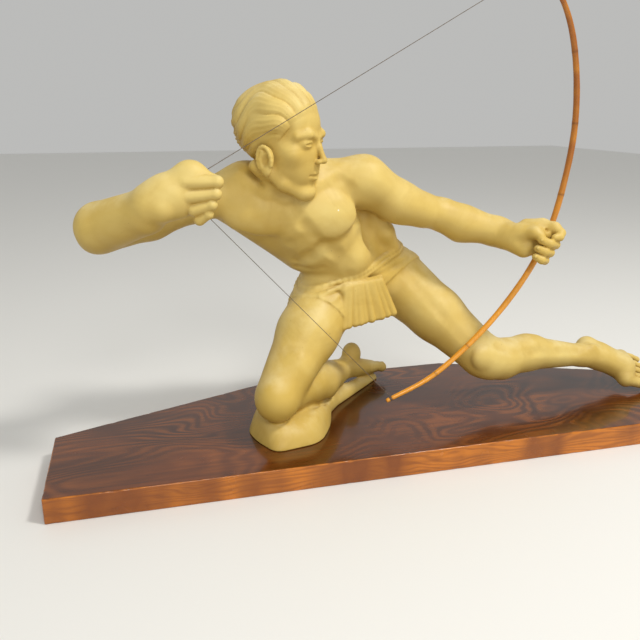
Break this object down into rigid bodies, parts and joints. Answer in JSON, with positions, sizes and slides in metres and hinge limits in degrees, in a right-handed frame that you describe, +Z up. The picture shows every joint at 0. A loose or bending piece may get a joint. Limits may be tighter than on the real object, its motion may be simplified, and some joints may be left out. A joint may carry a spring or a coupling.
{
  "type": "archer sculpture",
  "caption": "Cast figure of a kneeling archer drawing a bow, on a long six-sided wooden plinth.",
  "frame": {"origin": "middle of the plinth's underside", "axes": "+Z up, +X along the plinth the way the archer aims, -Y the side that the archer's chest faces"},
  "size_m": [0.84, 0.26, 0.5498],
  "materials": {
    "walnut": "gloss varnish",
    "cream_paint": "satin",
    "cane": "satin",
    "thread": "matt"
  },
  "bodies": {
    "root": {"plinth": "walnut", "figure": "cream_paint", "bow": "cane", "bowstring": "thread"}
  },
  "joints": []
}
